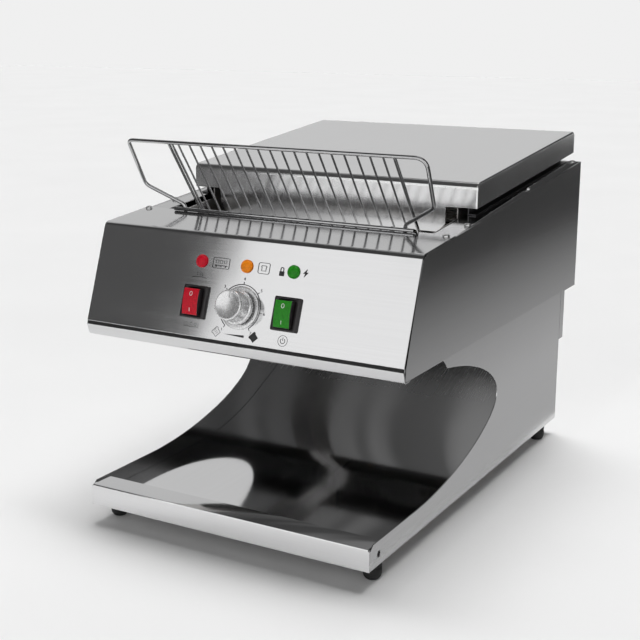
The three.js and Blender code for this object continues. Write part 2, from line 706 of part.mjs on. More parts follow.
// ---------------------------------------------------------------- loading rack
// Welded round wire: an outer loop that stands on two legs, and leaning bars in the slot.
function addRack() {
  const rimRadius = 2;
  const rimBend = 9;
  const rimY = 91;
  const rimZ = 375;
  const legY = deckRearY + rimRadius + 0.6;
  const leftHalf = [[-130, legY, 280], [-131.5, legY, 304], [-170, 116, 325.5], [-172.3, rimY, rimZ]];
  const rightHalf = leftHalf.map(([x, y, z]) => [-x, y, z]).reverse();
  const loop = wire([...leftHalf, ...rightHalf], rimRadius, rimBend);
  const crossY = legY - 3.4;
  const crossZ = deckZ(crossY) + rimRadius + gap;
  const crossHalf = 142.5;
  const cross = rodX(rimRadius, -crossHalf, crossHalf, crossY, crossZ, 10);
  const barFoot = { y: 156, z: 284 };
  const footBar = rodX(1.5, -121.5, 141, barFoot.y, barFoot.z, 8);
  const bars = [[-120, 1.5], [-115.8, 1.2], [139.5, 1.7]];
  const thinBarCount = 18;
  const thinBarRadius = 1.05;
  const firstBarX = -108;
  const barPitch = 13.85;
  for (let index = 0; index < thinBarCount; index += 1) {
    bars.push([firstBarX + index * barPitch, thinBarRadius]);
  }
  const pieces = bars.map(([x, radius]) =>
    wire([[x, rimY + 0.4, rimZ - 0.6], [x, barFoot.y, barFoot.z]], radius, 1, 6));
  const straps = [-115, 0, 115].map((x) =>
    wire([[x, crossY, crossZ], [x, 139, crossZ], [x, barFoot.y, barFoot.z]], 1.2, 2, 6));
  addPart('loading_rack', join(loop, cross, footBar, ...pieces, ...straps), polishedSteel);
}

// ---------------------------------------------------------------- electrics and fasteners
function addElectrics() {
  addPart('terminal_block', box(60, 110, baseRearY + gap, baseRearY + 10, 120, 140), blackPlastic);
  const bore = 4;
  const collar = 10.5;
  const profile = [[bore, -9], [bore, 12], [8.5, 12], [collar, 9], [collar, gap], [glandRadius, gap],
    [glandRadius, -9], [bore, -9]];
  addPart('cable_gland', turned(profile, 20).translate(glandX, baseRearY, glandZ), blackPlastic);
}

// Pan-head screws on the deck and the rear flange.
function addScrews() {
  const head = [[0, 0], [3.6, 0], [3.3, 1.6], [2, 2.4], [0, 2.6]];
  const places = [['front', 177, 129, 0.4], ['rear', 176, 500, 0.2 - sheet]];
  for (const [side, sign] of sides) {
    for (const [place, x, y, lift] of places) {
      const screw = addPart(`${place}_screw_${side}`, turnedZ(head, 12), polishedSteel);
      screw.position.set(sign * x, y, deckZ(y) + lift);
      screw.rotation.x = Math.atan(topSlope);
    }
  }
}

addBase();
addSlide();
addFeet();
addControlPanel();
addHousingSides();
addHousingFloor();
addHousingRear();
addRearCover();
addHood();
addHoodBrackets();
addChamber();
addHeaters();
addShaft('drive_shaft', driveShaft, chainX + 4);
addShaft('idler_shaft', idlerShaft, shaftEndX);
addBelt();
addBearings();
addDrive();
addControls();
addRack();
addElectrics();
addScrews();

export default toaster;
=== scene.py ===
"""Countertop conveyor toaster: polished panel, wire rack, raised hood and open toast tray.

Lengths in the drawing helpers are millimetres: x from the middle, y back from the tray's front
face and z up from the lower edge of the tray's front lip. at() turns them into the row frame.
"""
import json
import math

import bmesh
import bpy
from mathutils import Matrix, Vector

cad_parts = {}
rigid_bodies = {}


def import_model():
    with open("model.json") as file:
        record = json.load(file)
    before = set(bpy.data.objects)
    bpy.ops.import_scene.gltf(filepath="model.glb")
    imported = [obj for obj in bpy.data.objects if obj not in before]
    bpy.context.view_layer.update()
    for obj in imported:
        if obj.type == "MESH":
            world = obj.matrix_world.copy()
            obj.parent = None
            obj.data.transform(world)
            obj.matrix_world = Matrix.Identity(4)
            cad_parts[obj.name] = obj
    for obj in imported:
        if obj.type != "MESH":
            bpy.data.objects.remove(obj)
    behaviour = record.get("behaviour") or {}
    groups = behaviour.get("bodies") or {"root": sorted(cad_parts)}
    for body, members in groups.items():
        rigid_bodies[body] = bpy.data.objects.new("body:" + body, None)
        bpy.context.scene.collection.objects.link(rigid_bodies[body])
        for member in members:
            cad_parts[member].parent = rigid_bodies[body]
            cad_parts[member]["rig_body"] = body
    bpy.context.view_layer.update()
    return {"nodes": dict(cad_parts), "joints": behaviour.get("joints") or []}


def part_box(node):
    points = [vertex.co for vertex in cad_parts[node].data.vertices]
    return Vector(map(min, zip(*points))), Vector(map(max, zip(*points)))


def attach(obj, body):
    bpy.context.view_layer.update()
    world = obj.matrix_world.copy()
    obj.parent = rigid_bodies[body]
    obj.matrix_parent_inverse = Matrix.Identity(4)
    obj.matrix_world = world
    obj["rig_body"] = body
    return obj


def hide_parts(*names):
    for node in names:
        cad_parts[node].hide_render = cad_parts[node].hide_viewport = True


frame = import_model()
nodes = frame["nodes"]
joints = {joint["name"]: joint for joint in frame["joints"]}

MM = 0.001
FRONT_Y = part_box("tray_front_lip")[0].y
LIP_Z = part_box("tray_front_lip")[0].z
HOUSING_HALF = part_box("control_panel")[1].x / MM
BASE_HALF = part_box("base_side_right")[1].x / MM
SHEET = 1.2
GAP = 0.3

TOP_SLOPE_DEGREES = 5.25
TOP_SLOPE = math.tan(math.radians(TOP_SLOPE_DEGREES))
HOOD_SLOPE = math.tan(math.radians(5.5))
PANEL_LEAN = math.radians(19.8)
PANEL_FOLD = (61.6, 287.3)
PANEL_LENGTH = 104
DECK_REAR = 131
DECK_TAB_REAR = 136
HOUSING_BOTTOM = 178.3
BASE_REAR = 515.7
TRAY_FLOOR = 9
SIDES = (("left", -1), ("right", 1))


def at(x, y, z):
    return Vector((x * MM, FRONT_Y + y * MM, LIP_Z + z * MM))


def frame_at(point, angle=0.0, axis="Y"):
    """A frame in millimetres at a point, turned about one axis."""
    return Matrix.Translation(point) @ Matrix.Rotation(angle, 4, axis) @ Matrix.Scale(MM, 4)


def linked(name, data):
    """A new object of the data, in the scene."""
    made = bpy.data.objects.new(name, data)
    bpy.context.scene.collection.objects.link(made)
    return made


def deck_height(y):
    return PANEL_FOLD[1] + 3.7 + TOP_SLOPE * (y - PANEL_FOLD[0])


# The panel's own frame: x to the right, y up its slope from the dial's middle, z straight out.
KNOB_PIVOT_LIFT = 10
panel_out = Vector(joints["speed_knob_turn"]["axis"]).normalized()
panel_up = panel_out.cross(Vector((1, 0, 0)))
dial_middle = Vector(joints["speed_knob_turn"]["pos_m"]) - panel_out * KNOB_PIVOT_LIFT * MM
PANEL = Matrix.Translation(dial_middle) @ Matrix(
    ((1, panel_up.x, panel_out.x), (0, panel_up.y, panel_out.y), (0, panel_up.z, panel_out.z))
).to_4x4() @ Matrix.Scale(MM, 4)
DIAL_DOWN = 66.3


# ---- camera
def add_camera():
    azimuth = math.radians(29.87)
    elevation = math.radians(14.14)
    distance = 1.3046
    target = Vector((0.00521, -0.07794, 0.20115))
    away = Vector((math.sin(azimuth) * math.cos(elevation),
                   -math.cos(azimuth) * math.cos(elevation), math.sin(elevation)))
    data = bpy.data.cameras.new("camera")
    data.sensor_width = 36
    data.lens = 67.63
    camera = linked("camera", data)
    camera.location = target + away * distance
    camera.rotation_euler = (-away).to_track_quat("-Z", "Y").to_euler()
    bpy.context.scene.camera = camera


add_camera()


# ---- materials
class Nodes:
    """Adds and links shader nodes in one node tree."""

    def __init__(self, tree):
        self.tree = tree
        tree.nodes.clear()

    def add(self, kind, settings=None, **inputs):
        node = self.tree.nodes.new("ShaderNode" + kind)
        for key, value in (settings or {}).items():
            setattr(node, key, value)
        for key, value in inputs.items():
            self.feed(node.inputs[key.replace("_", " ")], value)
        return node

    def feed(self, socket, value):
        if isinstance(value, bpy.types.NodeSocket):
            self.tree.links.new(value, socket)
        else:
            socket.default_value = value

    def noise(self, stretch, detail=2.0, roughness=0.5):
        """Noise in the piece's own coordinates, stretched by a scale per axis in 1/m."""
        place = self.add("TexCoord").outputs["Object"]
        mapped = self.add("Mapping", Vector=place, Scale=stretch).outputs["Vector"]
        return self.add("TexNoise", Vector=mapped, Scale=1.0, Detail=detail,
                        Roughness=roughness).outputs["Fac"]

    def span(self, value, low, high, start=0.3, stop=0.7):
        """Maps value from start..stop to low..high."""
        return self.add("MapRange", Value=value, From_Min=start, From_Max=stop,
                        To_Min=low, To_Max=high).outputs["Result"]

    def math(self, operation, first, second=0.0):
        node = self.add("Math", {"operation": operation})
        self.feed(node.inputs[0], first)
        self.feed(node.inputs[1], second)
        return node.outputs[0]

    def tint(self, amount, dark, light):
        """A colour between dark and light."""
        mix = self.add("Mix", {"data_type": "RGBA"})
        self.feed(mix.inputs["Factor"], amount)
        self.feed(mix.inputs[6], (*dark, 1))
        self.feed(mix.inputs[7], (*light, 1))
        return mix.outputs[2]

    def bump(self, height, strength, distance):
        bumped = self.add("Bump", Height=height, Strength=strength, Distance=distance)
        return bumped.outputs["Normal"]


def make_material(name, paint):
    """A material whose surface shader paint(tree) adds and returns."""
    material = bpy.data.materials.new(name)
    material.use_nodes = True
    tree = Nodes(material.node_tree)
    tree.add("OutputMaterial", Surface=paint(tree).outputs[0])
    return material


def shaded(colour, share):
    return tuple(channel * share for channel in colour)


def steel(name, grain, colour, roughness, relief=0.00001, smudge=0.04, scuffed=0.0, metallic=1.0):
    """Metal with a grain. grain is its noise scale per axis, lowest along the brushing, and relief
    its depth in metres. smudge is the roughness of finger marks, scuffed is what sliding toast
    adds to the roughness over the first 0.1 m behind the middle, and metallic is below 1 for
    a plated moulding."""
    smudge_scale = 14
    scuff_end = 0.1

    def paint(tree):
        fine = tree.noise(grain, 3.0, 0.6)
        broad = tree.noise((smudge_scale,) * 3, 3.0)
        dark = shaded(colour, 0.965)
        streaks = tree.span(fine, roughness * 0.9, roughness * 1.12)
        prints = tree.span(broad, 0, smudge, 0.5, 0.75)
        total = tree.math("ADD", streaks, prints)
        if scuffed:
            place = tree.add("TexCoord").outputs["Object"]
            back = tree.add("SeparateXYZ", Vector=place).outputs["Y"]
            total = tree.math("ADD", total, tree.span(back, 0, scuffed, 0.0, scuff_end))
        return tree.add("BsdfPrincipled", Base_Color=tree.tint(tree.span(fine, 0, 1), dark, colour),
                        Metallic=metallic, Roughness=total, Normal=tree.bump(fine, 0.3, relief))
    return make_material(name, paint)


def plastic(name, colour, roughness, pebble=900, depth=0.00003, coat=0.0):
    """Moulded plastic or rubber. pebble is the scale of its fine texture and depth its height."""
    mottle_scale = 60

    def paint(tree):
        fine = tree.noise((pebble,) * 3)
        broad = tree.noise((mottle_scale,) * 3)
        tone = tree.tint(tree.span(broad, 0, 1), shaded(colour, 0.78), colour)
        return tree.add("BsdfPrincipled", Base_Color=tone,
                        Roughness=tree.span(fine, roughness * 0.8, roughness * 1.2),
                        Coat_Weight=coat, Coat_Roughness=0.05, Normal=tree.bump(fine, 0.4, depth))
    return make_material(name, paint)


def lens(name, colour, glow):
    """Coloured moulding with small facets inside and a faint glow."""
    def paint(tree):
        place = tree.add("TexCoord").outputs["Object"]
        facets = tree.add("TexVoronoi", Vector=place, Scale=700.0).outputs["Distance"]
        amount = tree.span(facets, 0, 1, 0.1, 0.7)
        return tree.add("BsdfPrincipled", Base_Color=tree.tint(amount, colour, shaded(colour, 0.6)),
                        Roughness=0.35, Specular_IOR_Level=0.2, Coat_Weight=0.06,
                        Coat_Roughness=0.06, Emission_Color=(*colour, 1), Emission_Strength=glow,
                        Normal=tree.bump(facets, 0.15, 0.0001))
    return make_material(name, paint)


# Noise scales in 1/m, across and along the brushing.
ACROSS = 650
ALONG = 4
PANEL_STEEL = steel("panel_steel", (ALONG, 400, ACROSS), (0.70, 0.70, 0.705), 0.1,
                    relief=0.000003)
HOOD_STEEL = steel("hood_steel", (ACROSS, ALONG, ALONG), (0.84, 0.84, 0.845), 0.15,
                   relief=0.000006)
SIDE_STEEL = steel("side_steel", (ALONG, ALONG, ACROSS), (0.64, 0.64, 0.645), 0.13,
                   relief=0.000004)
TRAY_STEEL = steel("tray_steel", (ACROSS, ALONG, ALONG), (0.82, 0.82, 0.825), 0.07,
                   relief=0.000003, smudge=0.02, scuffed=0.2)
LIP_STEEL = steel("lip_steel", (ALONG, ALONG, ACROSS), (0.76, 0.76, 0.765), 0.08,
                  relief=0.000004, smudge=0.02)
INNER_STEEL = steel("inner_steel", (ALONG, ACROSS, ALONG), (0.50, 0.49, 0.48), 0.42)
WIRE_STEEL = steel("wire_steel", (200, 200, 200), (0.48, 0.48, 0.485), 0.08)
SCREW_STEEL = steel("screw_steel", (200, 200, 200), (0.7, 0.7, 0.7), 0.2)
BELT_STEEL = steel("belt_steel", (150, 150, 150), (0.36, 0.34, 0.31), 0.36)
DARK_STEEL = steel("dark_steel", (300, 300, 300), (0.10, 0.10, 0.105), 0.42)
KNOB_SILVER = steel("knob_silver", (300, 300, 300), (0.80, 0.80, 0.805), 0.26,
                    relief=0.000002, smudge=0.02, metallic=0.75)
BRONZE = steel("bearing_bronze", (300, 300, 300), (0.56, 0.37, 0.16), 0.33)
SHEATH = steel("heater_sheath", (30, 400, 400), (0.22, 0.19, 0.17), 0.5)
MOTOR_PAINT = plastic("motor_paint", (0.07, 0.075, 0.08), 0.45, pebble=500)
CERAMIC = plastic("ceramic", (0.72, 0.68, 0.6), 0.5, pebble=600)
# Rubber for the feet; on the panel's groove strip the same black is painted shade.
RUBBER_AND_GROOVE_SHADE = plastic("foot_rubber", (0.012, 0.012, 0.012), 0.65, pebble=1100, depth=0.00006)
BLACK = plastic("black_plastic", (0.014, 0.011, 0.012), 0.38, pebble=800, depth=0.00001,
                coat=0.1)
INK = plastic("printed_ink", (0.02, 0.02, 0.022), 0.5)
WHITE_INK = plastic("white_ink", (0.8, 0.8, 0.8), 0.45)
RED = lens("red_lens", (0.56, 0.004, 0.02), 0.16)
AMBER = lens("amber_lens", (0.9, 0.26, 0.008), 0.16)
GREEN = lens("green_lens", (0.02, 0.27, 0.012), 0.1)


# ---- mesh helpers
def mesh_object(name, bm):
    """An object with the bmesh as its mesh. The bmesh is used up."""
    mesh = bpy.data.meshes.new(name)
    bm.to_mesh(mesh)
    bm.free()
    return linked(name, mesh)


def take_mesh(bm, source, matrix):
    """Adds the source object's final mesh to the bmesh, moved by the matrix. The object goes."""
    bpy.context.view_layer.update()
    shaped = source.evaluated_get(bpy.context.evaluated_depsgraph_get())
    mesh = shaped.to_mesh()
    mesh.transform(matrix)
    bm.from_mesh(mesh)
    shaped.to_mesh_clear()
    bpy.data.objects.remove(source)


def place_piece(name, bm, materials, body, replaces=(), sharp=32):
    """Makes an object of the bmesh, smooth up to the sharp angle, and ties it to its body."""
    bmesh.ops.recalc_face_normals(bm, faces=bm.faces)
    for face in bm.faces:
        face.smooth = True
    for edge in bm.edges:
        if len(edge.link_faces) == 2:
            edge.smooth = edge.calc_face_angle(0) < math.radians(sharp)
    piece = mesh_object(name, bm)
    for material in materials:
        piece.data.materials.append(material)
    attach(piece, body)
    if replaces:
        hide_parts(*replaces)
    return piece


def soften(piece, width, segments=2, angle=32):
    """Rounds the piece's hard edges by width millimetres."""
    bevel = piece.modifiers.new("edge", "BEVEL")
    bevel.width = width * MM
    bevel.segments = segments
    bevel.limit_method = "ANGLE"
    bevel.angle_limit = math.radians(angle)
    bevel.harden_normals = True
    bevel.use_clamp_overlap = True


def flatten_large_faces(piece):
    """Keeps the big flat faces flat where they meet a rounded fold."""
    weighted = piece.modifiers.new("flat faces", "WEIGHTED_NORMAL")
    weighted.keep_sharp = True
    weighted.weight = 50


def bridge(bm, first, second):
    """Faces between two closed rings of as many points."""
    faces = []
    for index in range(len(first)):
        after = (index + 1) % len(first)
        faces.append(bm.faces.new((first[index], first[after], second[after], second[index])))
    return faces


def prism(outline, x0, x1):
    """A closed (y, z) outline drawn out from x0 to x1."""
    bm = bmesh.new()
    ends = [[bm.verts.new(at(x, y, z)) for y, z in outline] for x in (x0, x1)]
    bridge(bm, *ends)
    bm.faces.new(ends[0])
    bm.faces.new(ends[1])
    bmesh.ops.recalc_face_normals(bm, faces=bm.faces)
    return bm


def folded(points, thickness):
    """The outline of a sheet whose outer face follows the points, thickness to the right."""
    outer = [Vector(point) for point in points]
    inner = []
    for index, point in enumerate(outer):
        into = point - outer[index - 1] if index else outer[1] - point
        away = outer[index + 1] - point if index + 1 < len(outer) else into
        normal_in = Vector((into.y, -into.x)).normalized()
        normal_away = Vector((away.y, -away.x)).normalized()
        middle = (normal_in + normal_away).normalized()
        inner.append(point + middle * thickness / middle.dot(normal_in))
    return [tuple(point) for point in outer + inner[::-1]]


def arc(centre, radius, start, stop, steps):
    """Points on an arc, angles in degrees."""
    angles = [math.radians(start + (stop - start) * step / steps) for step in range(steps + 1)]
    return [(centre[0] + radius * math.cos(a), centre[1] + radius * math.sin(a)) for a in angles]


def bezier(start, first, second, stop, steps):
    """Points on a cubic curve, without its first point."""
    points = []
    for step in range(1, steps + 1):
        t = step / steps
        weights = ((1 - t) ** 3, 3 * t * (1 - t) ** 2, 3 * t * t * (1 - t), t ** 3)
        points.append(tuple(sum(w * p[axis] for w, p in zip(weights, (start, first, second, stop)))
                            for axis in (0, 1)))
    return points


def rounded(corners, bends, steps=8):
    """A path through the corners, each inner corner rounded off over its own bend length."""
    corners = [Vector(corner) for corner in corners]
    path = [corners[0]]
    for before, corner, after, bend in zip(corners, corners[1:], corners[2:], bends):
        start = corner + (before - corner).normalized() * bend
        stop = corner + (after - corner).normalized() * bend
        for step in range(steps + 1):
            t = step / steps
            path.append(start * (1 - t) ** 2 + corner * 2 * t * (1 - t) + stop * t * t)
    path.append(corners[-1])
    return path


def tube(bm, path, radius, sides=12, closed=False, flatten=1.0):
    """A round wire along the path; flatten scales it across its own z."""
    path = [Vector(point) for point in path]
    count = len(path)
    rings = []
    side = None
    for index, point in enumerate(path):
        before = path[index - 1] if index or closed else point
        after = path[(index + 1) % count] if index + 1 < count or closed else point
        forward = (after - before).normalized()
        if side is None:
            side = forward.orthogonal().normalized()
            if abs(forward.z) < 0.1:
                side = Vector((0, 0, 1)).cross(forward).normalized()
        side = (side - forward * side.dot(forward)).normalized()
        up = forward.cross(side)
        ring = []
        for turn in range(sides):
            angle = 2 * math.pi * (turn + 0.5) / sides
            offset = side * math.cos(angle) + up * math.sin(angle)
            offset.z *= flatten
            ring.append(bm.verts.new(point + offset * radius))
        rings.append(ring)
    pairs = list(zip(rings, rings[1:]))
    if closed:
        pairs.append((rings[-1], rings[0]))
    for first, second in pairs:
        bridge(bm, first, second)
    if not closed:
        bm.faces.new(rings[0])
        bm.faces.new(rings[-1][::-1])


def turned(bm, profile, matrix, segments=48):
    """Revolves a (radius, height) profile about the matrix's z axis."""
    rings = []
    for radius, height in profile:
        if radius == 0:
            rings.append([bm.verts.new(matrix @ Vector((0, 0, height)))])
            continue
        rings.append([bm.verts.new(matrix @ Vector((
            radius * math.cos(2 * math.pi * turn / segments),
            radius * math.sin(2 * math.pi * turn / segments), height)))
            for turn in range(segments)])
    for first, second in zip(rings, rings[1:]):
        for turn in range(segments):
            after = (turn + 1) % segments
            corners = [first[turn % len(first)], first[after % len(first)],
                       second[after % len(second)], second[turn % len(second)]]
            bm.faces.new(list(dict.fromkeys(corners)))


def pin(radius, reach):
    """The profile of a round cutter that reaches as far to each side."""
    return [(0, -reach), (radius, -reach), (radius, reach), (0, reach)]


def rounded_rectangle(half_x, half_y, corner, steps=5):
    points = []
    for quarter, (sign_x, sign_y) in enumerate(((1, 1), (-1, 1), (-1, -1), (1, -1))):
        centre = (sign_x * (half_x - corner), sign_y * (half_y - corner))
        points += arc(centre, corner, 90 * quarter, 90 * quarter + 90, steps)
    return points


def moved(points, x, y, scale=1.0):
    return [(x + px * scale, y + py * scale) for px, py in points]


def lofted(bm, loops, matrix):
    """Joins loops of equal length, each a list of (x, y) and its height, and closes both ends."""
    rings = [[bm.verts.new(matrix @ Vector((x, y, height))) for x, y in points]
             for points, height in loops]
    for first, second in zip(rings, rings[1:]):
        bridge(bm, first, second)
    bm.faces.new(rings[0][::-1])
    bm.faces.new(rings[-1])


def block(bm, low, high):
    """A box between two corners given in the drawing frame."""
    corners = [bm.verts.new(at(x, y, z)) for x in (low[0], high[0]) for y in (low[1], high[1])
               for z in (low[2], high[2])]
    for face in ((0, 1, 3, 2), (4, 6, 7, 5), (0, 4, 5, 1), (2, 3, 7, 6), (0, 2, 6, 4),
                 (1, 5, 7, 3)):
        bm.faces.new([corners[index] for index in face])


def drill(bm, cutters):
    """Cuts the cutter bmesh out of the bmesh and returns the rest."""
    for source in (bm, cutters):
        bmesh.ops.recalc_face_normals(source, faces=source.faces)
    body, tool = mesh_object("drilled", bm), mesh_object("drill", cutters)
    modifier = body.modifiers.new("cut", "BOOLEAN")
    modifier.operation = "DIFFERENCE"
    modifier.solver = "EXACT"
    modifier.object = tool
    result = bmesh.new()
    take_mesh(result, body, Matrix.Identity(4))
    bpy.data.objects.remove(tool)
    return result


def refined(node, material, width):
    """A piece with the CAD node's shape, clean flat faces and rounded edges."""
    bm = bmesh.new()
    bm.from_mesh(nodes[node].data)
    bmesh.ops.remove_doubles(bm, verts=bm.verts, dist=0.01 * MM)
    bmesh.ops.dissolve_limit(bm, angle_limit=math.radians(1), verts=bm.verts, edges=bm.edges)
    piece = place_piece(f"{node}_shell", bm, [material], nodes[node]["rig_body"], (node,))
    soften(piece, width)


# ---- base
def side_outline():
    """A C: a low wall beside the tray and an arm that carries the housing."""
    top = HOUSING_BOTTOM - GAP
    curve_top = (169, 154.5)
    throat = (309, 91)
    curve_end = (100, 25)
    return ([(1.8, 0), (BASE_REAR, 0), (BASE_REAR, top), (160, top), (160, 164), curve_top]
            + bezier(curve_top, (240, 144), (309, 118), throat, 28)
            + bezier(throat, (309, 60), (200, 25), curve_end, 32)
            + [(8, 25), (1.8, 20)])


def add_base_sides():
    hole, hole_radius = (19.8, 11.4), 3.2
    for side, sign in SIDES:
        outer = sign * BASE_HALF
        inner = sign * (BASE_HALF - SHEET)
        tool = bmesh.new()
        turned(tool, pin(hole_radius, 6), frame_at(at(outer, *hole), math.pi / 2), 28)
        plate = drill(prism(side_outline(), outer, inner), tool)
        piece = place_piece(f"base_side_{side}_plate", plate, [SIDE_STEEL], "housing",
                            (f"base_side_{side}",))
        soften(piece, 0.3)


def slide_outline():
    """Level from the lip, then a bend up to a ramp, then upright at the back."""
    lip_y = 27.5
    ramp = math.radians(24)
    first_radius, first_y = 330, 185
    rear_radius = 75
    first = arc((first_y, TRAY_FLOOR + first_radius), first_radius, -90, -66, 24)
    ramp_end_y = 457
    ramp_end_z = first[-1][1] + (ramp_end_y - first[-1][0]) * math.tan(ramp)
    centre = (ramp_end_y - rear_radius * math.sin(ramp), ramp_end_z + rear_radius * math.cos(ramp))
    rear = arc(centre, rear_radius, -66, -2, 30)
    top = (rear[-1][0] + 0.3, HOUSING_BOTTOM - 1)
    return folded([(lip_y, TRAY_FLOOR)] + first + rear + [top], SHEET)


def add_slide():
    half = BASE_HALF - SHEET - GAP
    piece = place_piece("toast_slide_sheet", prism(slide_outline(), -half, half), [TRAY_STEEL],
                        "housing", ("toast_slide",))
    soften(piece, 0.2)


def add_feet():
    for name in ("foot_front_left", "foot_front_right", "foot_rear_left", "foot_rear_right"):
        low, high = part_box(name)
        middle = (low + high) / 2
        bm = bmesh.new()
        height = (high.z - low.z) / MM
        profile = [(0, 0), (5.5, 0), (6.4, 0.4), (7.6, 1.6), (8.8, 3.8), (9.35, 6), (9.45, 8.5),
                   (9.3, 12), (8.6, 12.6), (8.6, 13.4), (9.4, 14), (9.4, height), (0, height)]
        turned(bm, profile, frame_at((middle.x, middle.y, low.z)))
        place_piece(f"{name}_pad", bm, [RUBBER_AND_GROOVE_SHADE], "housing", (name,), 50)


# ---- control panel
SWITCH_X = 53.3
LAMP_UP = DIAL_DOWN - 25
GROOVE = 3.1
panel_down = (-math.sin(PANEL_LEAN), -math.cos(PANEL_LEAN))
panel_foot = tuple(PANEL_FOLD[axis] + panel_down[axis] * PANEL_LENGTH for axis in (0, 1))


def along_panel(down, inward):
    """A (y, z) point down the panel's slope from its fold and inward from its face."""
    return (PANEL_FOLD[0] + panel_down[0] * down - panel_down[1] * inward,
            PANEL_FOLD[1] + panel_down[1] * down + panel_down[0] * inward)


def panel_outline():
    """The sheet from the slot, over the deck and the fold, down the panel and under its hem."""
    radius = 6.5
    centre_y = PANEL_FOLD[0] + 0.4 + radius * math.cos(PANEL_LEAN)
    centre = (centre_y, deck_height(centre_y) - radius)
    fold = arc(centre, radius, 90 + TOP_SLOPE_DEGREES, 180 - math.degrees(PANEL_LEAN), 18)
    depth = 3.4
    groove_top = PANEL_LENGTH - GROOVE
    groove = [along_panel(down, inward) for down, inward in (
        (groove_top - 0.5, 0), (groove_top - 0.1, 0.4), (groove_top, depth),
        (PANEL_LENGTH - 0.2, depth), (PANEL_LENGTH - 0.1, 0.5), (PANEL_LENGTH + 0.4, 0.2))]
    hem = [(panel_foot[0] + 3.2, HOUSING_BOTTOM + 0.8), (panel_foot[0] + 5, HOUSING_BOTTOM - 1),
           (panel_foot[0] + 14, HOUSING_BOTTOM - 1)]
    return folded([(DECK_TAB_REAR, deck_height(DECK_TAB_REAR))] + fold + groove + hem, -SHEET)


def add_control_panel():
    """One folded sheet, cut out for the lamps, the knob's spindle, the switches and the slot."""
    lamp_hole, spindle_hole, reach = 5.3, 4, 8
    tool = bmesh.new()
    for x in (-SWITCH_X, 0, SWITCH_X):
        turned(tool, pin(lamp_hole, reach), PANEL @ Matrix.Translation((x, LAMP_UP, 0)), 32)
    turned(tool, pin(spindle_hole, reach), PANEL, 32)
    for x in (-SWITCH_X, SWITCH_X):
        opening = moved(rounded_rectangle(12.8, 15.1, 0.8, 2), x, 0)
        lofted(tool, [(opening, -reach), (opening, reach)], PANEL)
    slot_half, slot_z, slot_reach = 146, deck_height(DECK_REAR), 9
    block(tool, (-slot_half, DECK_REAR, slot_z - slot_reach),
          (slot_half, DECK_TAB_REAR + 5, slot_z + slot_reach))
    sheet = drill(prism(panel_outline(), -HOUSING_HALF, HOUSING_HALF), tool)
    piece = place_piece("control_panel_sheet", sheet, [PANEL_STEEL], "housing",
                        ("control_panel",), sharp=28)
    soften(piece, 0.25, angle=40)
    flatten_large_faces(piece)


def add_panel_painted_shade():
    """A black strip in the groove above the panel's lower hem: painted shade where the groove has
    only shadow.
    """
    top, low = PANEL_LENGTH - GROOVE + 0.05, PANEL_LENGTH - 0.3
    corners = [along_panel(down, inward)
               for down, inward in ((top, 0.5), (low, 0.5), (low, 3.3), (top, 3.3))]
    half = HOUSING_HALF - 0.2
    bm = prism(corners, -half, half)
    place_piece("panel_painted_shade", bm, [RUBBER_AND_GROOVE_SHADE], "housing")


def add_switch(name, x, cap_material):
    """A snap-in rocker switch: bezel and well, and a tilted cap with its two marks."""
    place = PANEL @ Matrix.Translation((x, 0, 0))

    def bezel(inset, height):
        return rounded_rectangle(14.5 - inset, 16.6 - inset, 1.6), height

    def well(inset, height):
        return rounded_rectangle(9.6 - inset, 14.2 - inset, 0.7), height

    bm = bmesh.new()
    lofted(bm, [bezel(0, GAP), bezel(0, 2.0), bezel(0.25, 2.5), bezel(0.8, 2.8),
                well(-0.6, 2.8), well(-0.2, 2.6), well(0, 2.2), well(0, -7)], place)
    box = rounded_rectangle(12.4, 14.7, 0.7)
    lofted(bm, [(box, GAP), (box, -20.5), (rounded_rectangle(11.6, 13.9, 0.7), -21.5)], place)
    for terminal in (-8, 0, 8):
        blade = moved(rounded_rectangle(3.1, 0.4, 0.2, 1), 0, terminal)
        lofted(bm, [(blade, -21), (blade, -22)], place)
    place_piece(f"{name}_switch_bezel", bm, [BLACK], "housing",
                (f"{name}_switch_housing",), 40)

    tilt = place @ Matrix.Rotation(math.radians(6), 4, "X")
    half_width, half_length, middle_height, end_drop, edge_height = 9.2, 13.2, 9.2, 1.4, 7.5

    def crown(along):
        return middle_height - end_drop * (along / half_length) ** 2

    along_cap = [half_length * (1 - step / 10) for step in range(21)]
    side_view = [(-12.6, -5), (12.6, -5), (half_length, 7)]
    side_view += [(along, crown(along)) for along in along_cap] + [(-half_length, 7)]
    cap = bmesh.new()
    ends = [[cap.verts.new(tilt @ Vector((dx, along, height))) for along, height in side_view]
            for dx in (-half_width, half_width)]
    heights = [height for along, height in side_view]
    for face, *both in zip(bridge(cap, *ends), heights, heights[1:] + heights[:1]):
        face.material_index = 0 if min(both) > edge_height else 1
    for end in ends:
        cap.faces.new(end).material_index = 1
    rocker = place_piece(f"{name}_rocker_cap", cap, [cap_material, BLACK], f"{name}_switch",
                         (f"{name}_rocker",))
    soften(rocker, 0.7, segments=3)
    marks = bmesh.new()
    proud, line = 0.05, 0.32
    ring = [(1.5 * math.cos(math.radians(20 * step)), 8 + 2 * math.sin(math.radians(20 * step)))
            for step in range(18)]
    tube(marks, [(dx, dy, crown(dy) + proud) for dx, dy in ring], line, 6, True, 0.4)
    tube(marks, [(0, dy, crown(dy) + proud) for dy in (-9.8, -8, -6.2)], line, 6, False, 0.4)
    marks.transform(tilt)
    place_piece(f"{name}_rocker_marks", marks, [WHITE_INK], f"{name}_switch")


